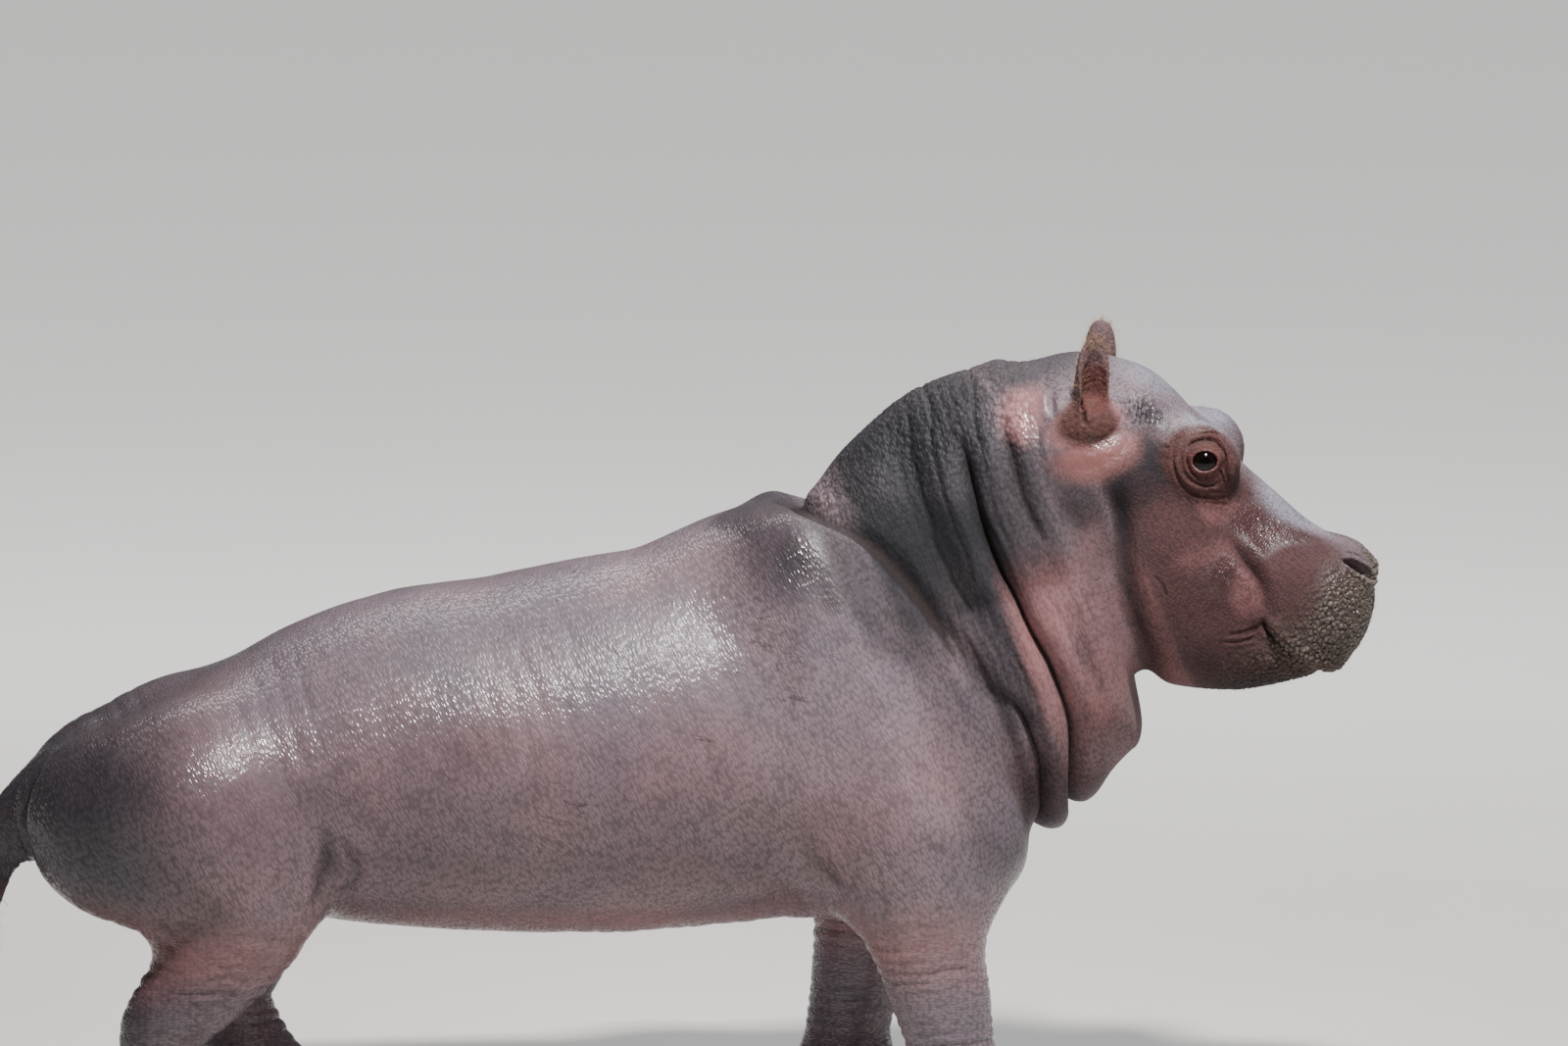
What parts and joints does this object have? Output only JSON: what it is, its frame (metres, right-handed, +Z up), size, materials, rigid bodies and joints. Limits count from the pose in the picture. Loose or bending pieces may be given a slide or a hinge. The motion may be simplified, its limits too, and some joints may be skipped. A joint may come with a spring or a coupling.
{
  "type": "hippopotamus calf",
  "caption": "Life-size young hippopotamus standing with its head raised and turned a little to its right, for museum-style display.",
  "frame": {"origin": "middle of the whole calf's box, on the ground under its feet", "axes": "+X towards the nose, +Y towards the calf's left, +Z up"},
  "size_m": [1.3758, 0.3622, 0.7672],
  "materials": {
    "back_skin": "wet, finely wrinkled grey-purple hide",
    "neck_skin": "wet hide, slate above and pink in the folds",
    "head_skin": "wet grey-brown and pink hide, pebbled on the muzzle",
    "leg_skin": "smooth grey-brown hide",
    "ear_skin": "thin red-brown hide with a fringe of golden hairs",
    "eye": "wet dark brown eye",
    "nail": "blunt dark horn"
  },
  "bodies": {
    "root": {"trunk": "back_skin", "neck": "neck_skin", "head": "head_skin", "jaw": "head_skin", "tail": "back_skin", "leg_front_left": "leg_skin", "leg_front_right": "leg_skin", "leg_hind_left": "leg_skin", "leg_hind_right": "leg_skin", "ear_left": "ear_skin", "ear_right": "ear_skin", "eye_left": "eye", "eye_right": "eye", "nail_front_left_1": "nail", "nail_front_left_2": "nail", "nail_front_left_3": "nail", "nail_front_left_4": "nail", "nail_front_right_1": "nail", "nail_front_right_2": "nail", "nail_front_right_3": "nail", "nail_front_right_4": "nail", "nail_hind_left_1": "nail", "nail_hind_left_2": "nail", "nail_hind_left_3": "nail", "nail_hind_left_4": "nail", "nail_hind_right_1": "nail", "nail_hind_right_2": "nail", "nail_hind_right_3": "nail", "nail_hind_right_4": "nail"}
  },
  "joints": []
}
